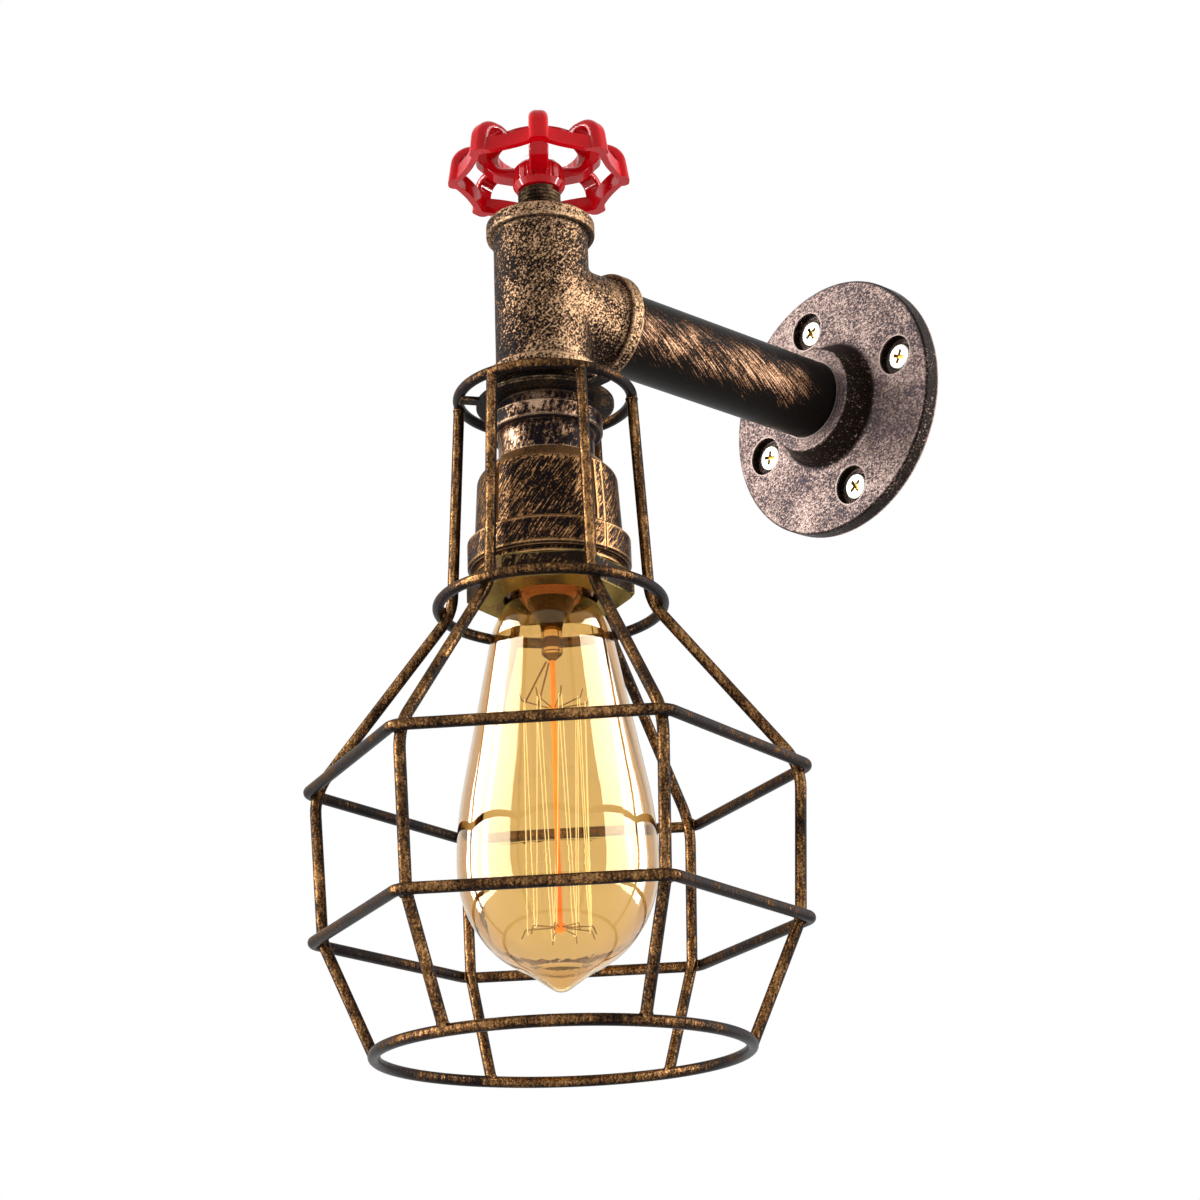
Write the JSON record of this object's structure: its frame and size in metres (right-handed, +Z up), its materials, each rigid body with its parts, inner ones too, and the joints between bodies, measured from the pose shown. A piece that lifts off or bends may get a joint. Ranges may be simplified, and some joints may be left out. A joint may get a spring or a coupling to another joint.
{
  "type": "cage wall light",
  "caption": "Pipe-style wall light: flange, arm and tee, red handwheel on top, wire cage with flared belly round a hanging screw-cap filament bulb.",
  "frame": {"origin": "centre of the wall flange's back face", "axes": "+Z up, +Y into the wall, so the arm points along -Y and the lamp hangs at y = -0.135"},
  "size_m": [0.1446, 0.22, 0.2927],
  "materials": {
    "bronze_cast": "antique bronze over black, rubbed edges",
    "bronze_pipe": "antique bronze over black, brushed streaks",
    "bronze_wire": "antique bronze over black on round wire",
    "bronze_holder": "antique bronze over black, brushed",
    "bronze_flange": "antique copper and bronze over black, rubbed",
    "dark_thread": "rough blackened steel thread",
    "red_enamel": "gloss red enamel on cast metal",
    "zinc": "bright zinc plate",
    "steel": "plain steel",
    "brass": "bare brass",
    "ceramic": "white electrical ceramic",
    "copper": null,
    "insulation_brown": "brown wire insulation",
    "insulation_blue": "blue wire insulation",
    "insulation_green_yellow": "green and yellow wire insulation",
    "amber_glass": "clear amber blown glass",
    "stem_glass": "clear pressed glass",
    "black_glass": null,
    "cap_brass": "brass screw cap",
    "solder": "solder tip",
    "filament_wire": "carbon-type filament",
    "support_wire": "fine steel support wire"
  },
  "bodies": {
    "frame": {"wall_flange": "bronze_flange", "wall_screws": "zinc", "arm_pipe": "bronze_pipe", "tee": "bronze_cast", "top_plug": "dark_thread", "threaded_stub": "dark_thread", "wheel_washer": "zinc", "wheel_screw": "zinc", "bottom_bushing": "dark_thread", "lower_nipple": "steel", "nipple_nut": "steel", "cage_plate": "dark_thread", "cage_top_ring": "bronze_wire", "cage_neck_ring": "bronze_wire", "cage_upper_hex": "bronze_wire", "cage_lower_hex": "bronze_wire", "cage_bottom_ring": "bronze_wire", "cage_uprights": "bronze_wire", "holder_neck": "bronze_holder", "lock_ring": "bronze_holder", "holder_body": "bronze_holder", "holder_band": "bronze_holder", "holder_hex_nut": "bronze_holder", "socket_insert": "ceramic", "screw_shell": "brass", "centre_contact": "brass", "terminal_blocks": "brass", "terminal_screws": "zinc", "earth_block": "brass", "wire_ends": "copper", "live_wire": "insulation_brown", "neutral_wire": "insulation_blue", "earth_wire": "insulation_green_yellow"},
    "handwheel": {"handwheel": "red_enamel"},
    "bulb_carrier": {"bulb_tip_contact": "solder"},
    "bulb": {"bulb_glass": "amber_glass", "bulb_cap": "cap_brass", "bulb_cap_glass": "black_glass", "bulb_stem": "stem_glass", "filament_rod": "stem_glass", "filament_hooks": "support_wire", "filament": "filament_wire", "lead_in_wires": "support_wire"}
  },
  "joints": [
    {"name": "handwheel_turn", "type": "hinge", "parent": "frame", "child": "handwheel", "pos_m": [0, -0.135, 0.04], "axis": [0, 0, 1], "continuous": true},
    {"name": "bulb_slide", "type": "slide", "parent": "frame", "child": "bulb_carrier", "axis": [0, 0, -1], "range_m": [0, 0.01815]},
    {"name": "bulb_turn", "type": "hinge", "parent": "bulb_carrier", "child": "bulb", "pos_m": [0, -0.135, -0.09], "axis": [0, 0, -1], "range_deg": [0, 1800]}
  ],
  "couplings": [
    {"joint": "bulb_slide", "follows": "bulb_turn", "m_per_rad": 0.00057757}
  ]
}
